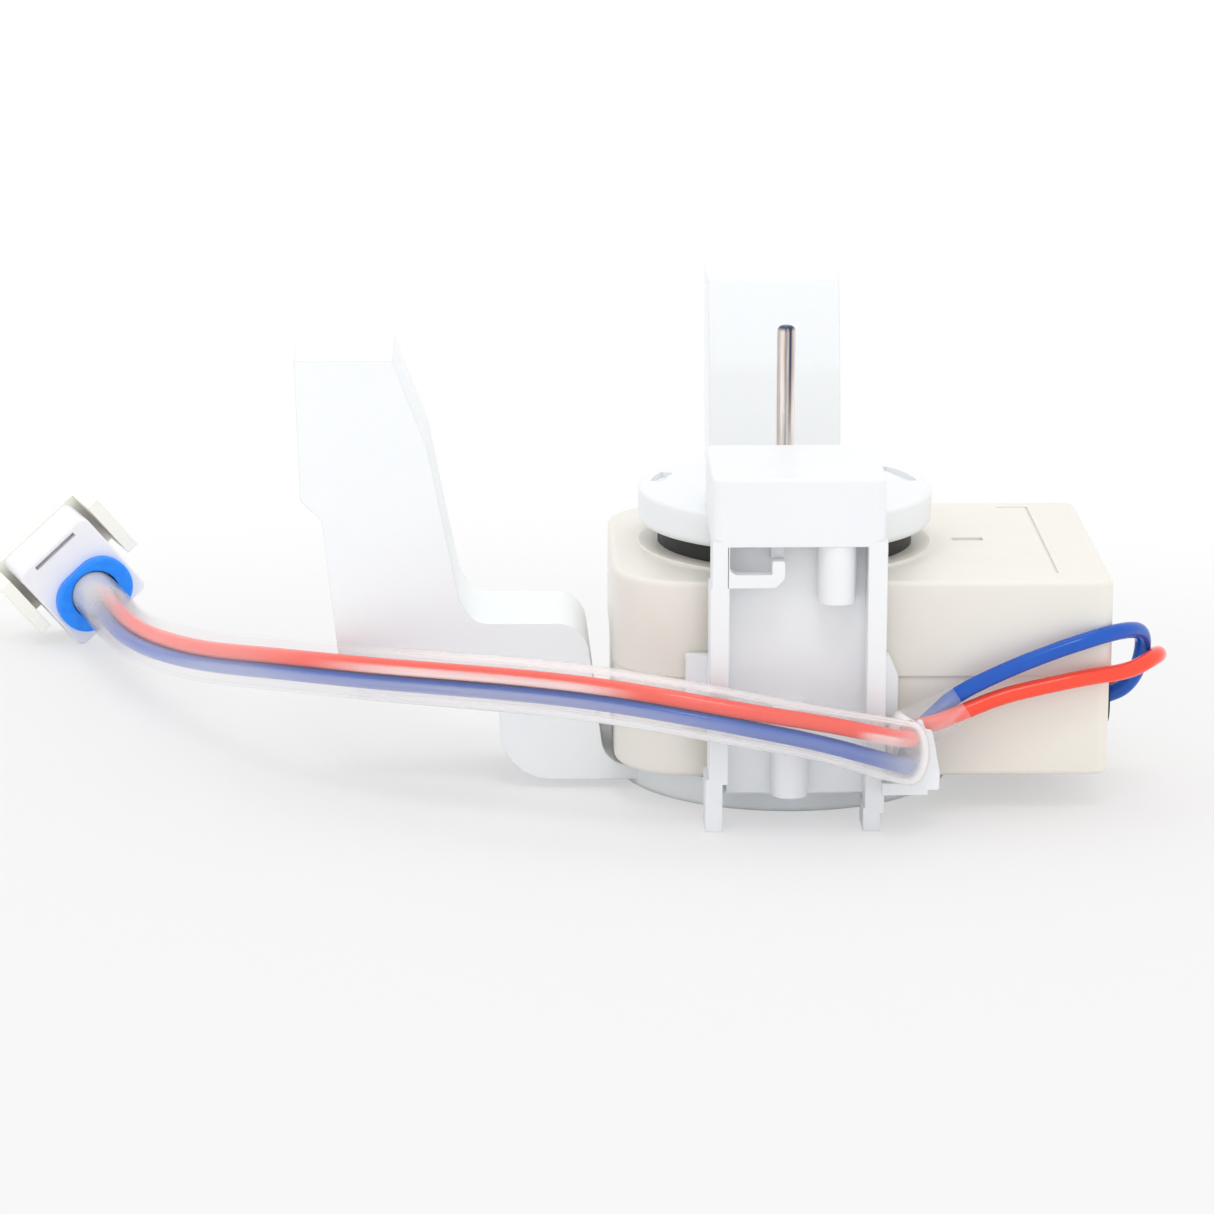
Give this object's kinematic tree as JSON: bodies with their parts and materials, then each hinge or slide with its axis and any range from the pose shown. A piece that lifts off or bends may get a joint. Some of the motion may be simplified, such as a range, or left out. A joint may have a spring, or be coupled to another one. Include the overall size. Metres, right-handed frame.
{
  "type": "evaporator fan motor",
  "caption": "Small shaded pole fan motor in a beige housing, held by rubber rings in a white snap-together bracket with raised legs and a sleeved lead ending in a plug.",
  "frame": {"origin": "on the shaft axis at the underside of the lower cup", "axes": "+Z along the shaft towards the fan end, +X across the housing towards the coil end, +Y away from the side with the mast"},
  "size_m": [0.2137, 0.1554, 0.0786],
  "materials": {
    "shaft": "ground",
    "rotor_core": "stamped laminations",
    "rotor_end_rings": "die cast",
    "thrust_washers": "nylon",
    "lower_bearing": "sintered bronze",
    "upper_bearing": "sintered bronze",
    "bearing_retainers": "spring steel",
    "oil_wicks": "oiled felt",
    "stator_core": "stamped laminations",
    "shading_rings": "bare copper",
    "coil_bobbin": "nylon",
    "coil_winding": "enamelled copper",
    "thermal_fuse": "taped",
    "housing_lower": "satin moulding",
    "housing_upper": "satin moulding",
    "lower_isolator": "matte",
    "upper_isolator": "matte",
    "base_bracket": "satin moulding",
    "upper_bracket": "satin moulding",
    "lead_grommet": "matte",
    "lead_splices": "tinned",
    "red_lead": "smooth insulation",
    "blue_lead": "smooth insulation",
    "clear_sleeve": "clear soft tube",
    "connector_housing": "satin moulding",
    "connector_seal": "smooth",
    "connector_retainer": "natural nylon",
    "connector_contacts": "tinned"
  },
  "bodies": {
    "frame": {"lower_bearing": "lower_bearing", "upper_bearing": "upper_bearing", "bearing_retainers": "bearing_retainers", "oil_wicks": "oil_wicks", "stator_core": "stator_core", "shading_rings": "shading_rings", "coil_bobbin": "coil_bobbin", "coil_winding": "coil_winding", "thermal_fuse": "thermal_fuse", "housing_lower": "housing_lower", "housing_upper": "housing_upper", "lower_isolator": "lower_isolator", "upper_isolator": "upper_isolator", "base_bracket": "base_bracket", "upper_bracket": "upper_bracket", "lead_grommet": "lead_grommet", "lead_splices": "lead_splices", "red_lead": "red_lead", "blue_lead": "blue_lead", "clear_sleeve": "clear_sleeve", "connector_housing": "connector_housing", "connector_seal": "connector_seal", "connector_retainer": "connector_retainer", "connector_contacts": "connector_contacts"},
    "rotor": {"shaft": "shaft", "rotor_core": "rotor_core", "rotor_end_rings": "rotor_end_rings", "thrust_washers": "thrust_washers"}
  },
  "joints": [
    {"name": "shaft_spin", "type": "hinge", "parent": "frame", "child": "rotor", "pos_m": [0, 0, 0], "axis": [0, 0, 1], "continuous": true}
  ]
}
